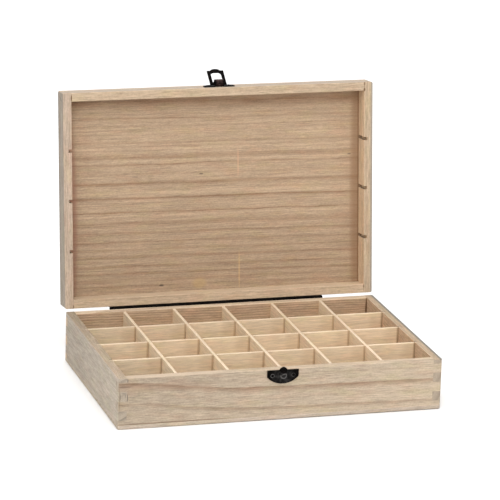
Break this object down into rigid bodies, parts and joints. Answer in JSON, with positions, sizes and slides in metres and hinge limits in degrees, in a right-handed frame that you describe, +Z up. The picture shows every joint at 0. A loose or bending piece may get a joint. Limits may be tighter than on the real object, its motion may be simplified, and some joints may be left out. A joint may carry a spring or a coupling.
{
  "type": "compartment box",
  "caption": "Shallow wooden box with a grid of square compartments, a hinged lid held open by a stop hinge, and a half-moon latch with a hasp.",
  "frame": {"origin": "middle of the underside of the base, on the surface that the box stands on", "axes": "+X to the right along the box's width, +Y from the latch to the hinge, +Z up"},
  "size_m": [0.34, 0.2871, 0.2979],
  "materials": {
    "board_wood": "raw, sanded",
    "divider_wood": "raw, sanded",
    "hinge_metal": "black, satin",
    "latch_metal": "black, satin",
    "panel_wood": "raw, sanded"
  },
  "bodies": {
    "base": {"base_back_board": "board_wood", "base_front_board": "board_wood", "base_leaf_nail_1": "hinge_metal", "base_leaf_nail_2": "hinge_metal", "base_leaf_nail_3": "hinge_metal", "base_leaf_nail_4": "hinge_metal", "base_leaf_nail_5": "hinge_metal", "base_left_board": "board_wood", "base_plate_nail_1": "latch_metal", "base_plate_nail_2": "latch_metal", "base_right_board": "board_wood", "bottom_panel": "panel_wood", "hinge_base_leaf": "hinge_metal", "hinge_pin": "hinge_metal", "latch_base_plate": "latch_metal", "long_divider_1": "divider_wood", "long_divider_2": "divider_wood", "long_divider_3": "divider_wood", "short_divider_1": "divider_wood", "short_divider_2": "divider_wood", "short_divider_3": "divider_wood", "short_divider_4": "divider_wood", "short_divider_5": "divider_wood"},
    "lid": {"hinge_lid_leaf": "hinge_metal", "latch_lid_plate": "latch_metal", "lid_back_board": "board_wood", "lid_front_board": "board_wood", "lid_leaf_nail_1": "hinge_metal", "lid_leaf_nail_2": "hinge_metal", "lid_leaf_nail_3": "hinge_metal", "lid_leaf_nail_4": "hinge_metal", "lid_leaf_nail_5": "hinge_metal", "lid_left_board": "board_wood", "lid_plate_nail_1": "latch_metal", "lid_plate_nail_2": "latch_metal", "lid_right_board": "board_wood", "lid_top_panel": "panel_wood"},
    "hasp": {"latch_hasp": "latch_metal"}
  },
  "joints": [
    {"name": "lid_hinge", "type": "hinge", "parent": "base", "child": "lid", "pos_m": [0, 0.1166, 0.05365], "axis": [1, 0, 0], "range_deg": [0, 96.5]},
    {"name": "hasp_hinge", "type": "hinge", "parent": "lid", "child": "hasp", "pos_m": [0.0004, 0.15055, 0.2858], "axis": [1, 0, 0], "range_deg": [-42, 138]}
  ]
}
